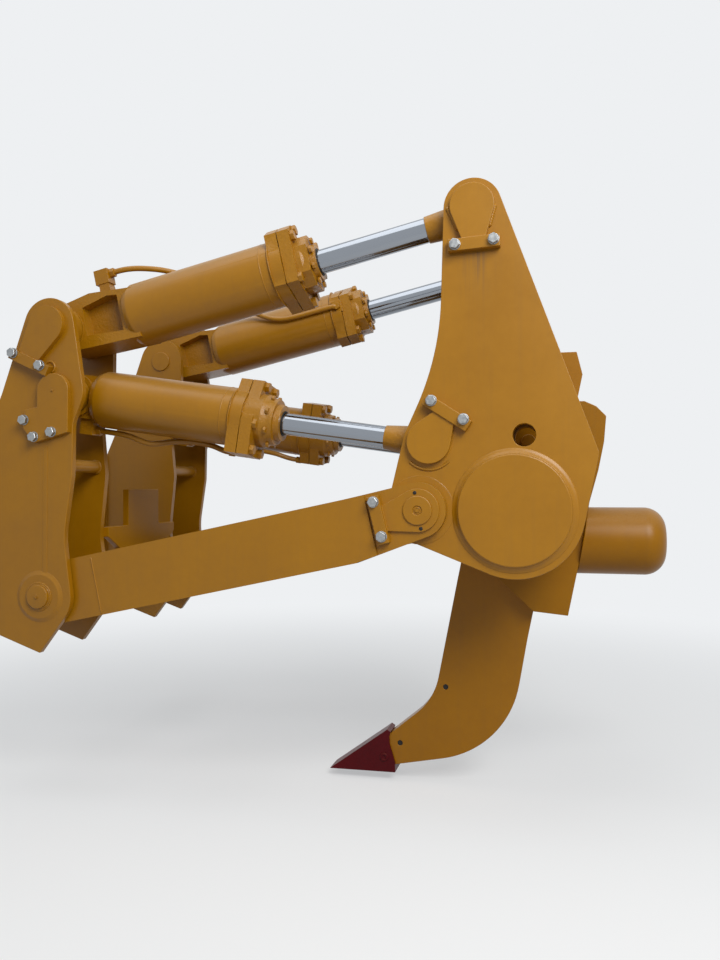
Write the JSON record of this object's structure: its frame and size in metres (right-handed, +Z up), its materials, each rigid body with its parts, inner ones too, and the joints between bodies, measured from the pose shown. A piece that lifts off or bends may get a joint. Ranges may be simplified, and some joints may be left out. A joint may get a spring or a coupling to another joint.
{
  "type": "single shank parallelogram ripper for a crawler bulldozer",
  "caption": "Rear ripper linkage: bracket plates carry link arms and tilt and lift cylinders, which move a tall carrier holding one curved shank with a tip.",
  "frame": {"origin": "middle of the bracket plates' mounting faces, on the plane that bolts to the tractor", "axes": "+X to the rear, away from the tractor, +Y to the tractor driver's right, +Z up"},
  "size_m": [2.9196, 1.452, 2.503],
  "materials": {
    "frame_paint": "gloss",
    "rod_steel": "polished",
    "pin_steel": "gloss",
    "hub_steel": "satin",
    "tip_paint": "satin"
  },
  "bodies": {
    "bracket": {"mount_plate_left": "frame_paint", "mount_plate_right": "frame_paint", "bracket_outer_left": "frame_paint", "bracket_outer_right": "frame_paint", "bracket_inner_left": "frame_paint", "bracket_inner_right": "frame_paint", "bracket_spacers": "frame_paint", "tie_plate": "frame_paint", "link_pins": "pin_steel", "lift_base_pins": "pin_steel", "bracket_pin_caps": "frame_paint"},
    "link": {"link_arm_left": "frame_paint", "link_arm_right": "frame_paint", "link_cross_tube": "frame_paint", "carrier_pins": "pin_steel", "arm_keepers": "frame_paint"},
    "carrier_level": {"carrier_hubs": "hub_steel"},
    "carrier": {"carrier_outer_left": "frame_paint", "carrier_outer_right": "frame_paint", "carrier_inner_left": "frame_paint", "carrier_inner_right": "frame_paint", "carrier_webs": "frame_paint", "drum": "frame_paint", "carrier_pin_caps": "frame_paint", "shank_pocket": "frame_paint", "push_block": "frame_paint", "shank": "frame_paint", "shank_pin": "pin_steel", "ripper_tip": "tip_paint"},
    "tilt_base_left": {"tilt_base_pin_left": "pin_steel"},
    "tilt_barrel_left": {"tilt_barrel_left": "frame_paint"},
    "tilt_rod_left": {"tilt_rod_left": "rod_steel", "tilt_rod_pin_left": "pin_steel"},
    "lift_barrel_left": {"lift_barrel_left": "frame_paint"},
    "lift_rod_left": {"lift_rod_left": "rod_steel", "lift_rod_pin_left": "pin_steel"},
    "tilt_base_right": {"tilt_base_pin_right": "pin_steel"},
    "tilt_barrel_right": {"tilt_barrel_right": "frame_paint"},
    "tilt_rod_right": {"tilt_rod_right": "rod_steel", "tilt_rod_pin_right": "pin_steel"},
    "lift_barrel_right": {"lift_barrel_right": "frame_paint"},
    "lift_rod_right": {"lift_rod_right": "rod_steel", "lift_rod_pin_right": "pin_steel"}
  },
  "joints": [
    {"name": "lift", "type": "hinge", "parent": "bracket", "child": "link", "pos_m": [0.33, 0, -0.25], "axis": [0, -1, 0], "range_deg": [-46, 30]},
    {"name": "carrier_level", "type": "hinge", "parent": "link", "child": "carrier_level", "pos_m": [1.94356, 0, 0.12252], "axis": [0, -1, 0], "range_deg": [-30.1, 46.1]},
    {"name": "tilt", "type": "hinge", "parent": "carrier_level", "child": "carrier", "pos_m": [1.94356, 0, 0.12252], "axis": [0, -1, 0], "range_deg": [-13, 13]},
    {"name": "tilt_swing_left", "type": "hinge", "parent": "bracket", "child": "tilt_base_left", "pos_m": [0.366, 0, 0.9], "axis": [0, -1, 0], "range_deg": [-41.6, 27.2]},
    {"name": "tilt_trim_left", "type": "hinge", "parent": "tilt_base_left", "child": "tilt_barrel_left", "pos_m": [0.366, 0, 0.9], "axis": [0, -1, 0], "range_deg": [-3.2, 3.2]},
    {"name": "tilt_stroke_left", "type": "slide", "parent": "tilt_barrel_left", "child": "tilt_rod_left", "axis": [0.9761, 0, 0.2174], "range_m": [-0.252, 0.252]},
    {"name": "lift_swing_left", "type": "hinge", "parent": "bracket", "child": "lift_barrel_left", "pos_m": [0.402, 0, 0.619], "axis": [0, -1, 0], "range_deg": [-44.3, 29]},
    {"name": "lift_stroke_left", "type": "slide", "parent": "lift_barrel_left", "child": "lift_rod_left", "axis": [0.9895, 0, -0.1444], "range_m": [-0.289, 0.443]},
    {"name": "tilt_swing_right", "type": "hinge", "parent": "bracket", "child": "tilt_base_right", "pos_m": [0.366, 0, 0.9], "axis": [0, -1, 0], "range_deg": [-41.6, 27.2]},
    {"name": "tilt_trim_right", "type": "hinge", "parent": "tilt_base_right", "child": "tilt_barrel_right", "pos_m": [0.366, 0, 0.9], "axis": [0, -1, 0], "range_deg": [-3.2, 3.2]},
    {"name": "tilt_stroke_right", "type": "slide", "parent": "tilt_barrel_right", "child": "tilt_rod_right", "axis": [0.9761, 0, 0.2174], "range_m": [-0.252, 0.252]},
    {"name": "lift_swing_right", "type": "hinge", "parent": "bracket", "child": "lift_barrel_right", "pos_m": [0.402, 0, 0.619], "axis": [0, -1, 0], "range_deg": [-44.3, 29]},
    {"name": "lift_stroke_right", "type": "slide", "parent": "lift_barrel_right", "child": "lift_rod_right", "axis": [0.9895, 0, -0.1444], "range_m": [-0.289, 0.443]}
  ],
  "couplings": [
    {"joint": "carrier_level", "follows": "lift", "ratio": -1},
    {"joint": "tilt_swing_left", "follows": "lift", "ratio": 0.9},
    {"joint": "tilt_trim_left", "follows": "tilt", "ratio": 0.24},
    {"joint": "tilt_stroke_left", "follows": "tilt", "m_per_rad": -1.1058},
    {"joint": "lift_swing_left", "follows": "lift", "ratio": 0.96},
    {"joint": "lift_stroke_left", "follows": "lift", "m_per_rad": -0.55004},
    {"joint": "tilt_swing_right", "follows": "lift", "ratio": 0.9},
    {"joint": "tilt_trim_right", "follows": "tilt", "ratio": 0.24},
    {"joint": "tilt_stroke_right", "follows": "tilt", "m_per_rad": -1.1058},
    {"joint": "lift_swing_right", "follows": "lift", "ratio": 0.96},
    {"joint": "lift_stroke_right", "follows": "lift", "m_per_rad": -0.55004}
  ]
}
